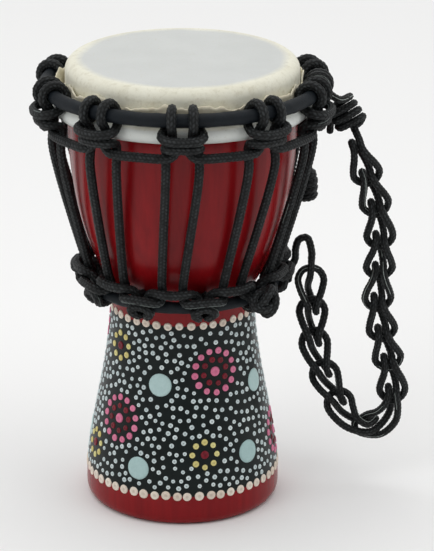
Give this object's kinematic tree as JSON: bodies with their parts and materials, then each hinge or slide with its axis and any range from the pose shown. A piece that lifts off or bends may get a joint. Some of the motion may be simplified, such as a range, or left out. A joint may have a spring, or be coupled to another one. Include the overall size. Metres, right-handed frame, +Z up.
{
  "type": "rope-tuned goblet drum",
  "caption": "Mini goblet-shaped hand drum with a skin head, rope lacing between two cloth-bound rings, and a chained rope carrying strap; turned wooden shell, open foot.",
  "frame": {"origin": "middle of the foot's flat underside, on the drum's own axis", "axes": "+Z up along the drum's axis to the head; -Y to the front, through a crown knot; +X to the side where the carrying strap hangs"},
  "size_m": [0.1672, 0.1359, 0.203],
  "materials": {
    "painted_wood": "glossy lacquer, with a band of dot painting on the foot",
    "goat_skin": "dry, smooth",
    "ring_steel": "plain, hidden in cloth and skin",
    "ring_cloth": "fine weave, wound tight",
    "braided_rope": "braided synthetic, slight sheen"
  },
  "bodies": {
    "drum": {"shell": "painted_wood", "drumhead_skin": "goat_skin", "flesh_hoop": "ring_steel", "crown_ring": "ring_steel", "crown_ring_cloth": "ring_cloth", "waist_ring": "ring_steel", "waist_ring_cloth": "ring_cloth", "crown_cradle_rope": "braided_rope", "waist_cradle_rope": "braided_rope", "lacing_rope": "braided_rope", "lacing_end_knot": "braided_rope", "crown_rope_knot": "braided_rope", "crown_rope_tail_left": "braided_rope", "crown_rope_tail_right": "braided_rope", "strap_top_tie": "braided_rope", "strap_bottom_tie": "braided_rope"},
    "strap": {"strap_chain": "braided_rope"}
  },
  "joints": [
    {"name": "strap_swing", "type": "hinge", "parent": "drum", "child": "strap", "pos_m": [0.07593, -0.00033, 0.16865], "axis": [0.2843, -0.1142, 0.9519], "range_deg": [-45, 45]}
  ]
}
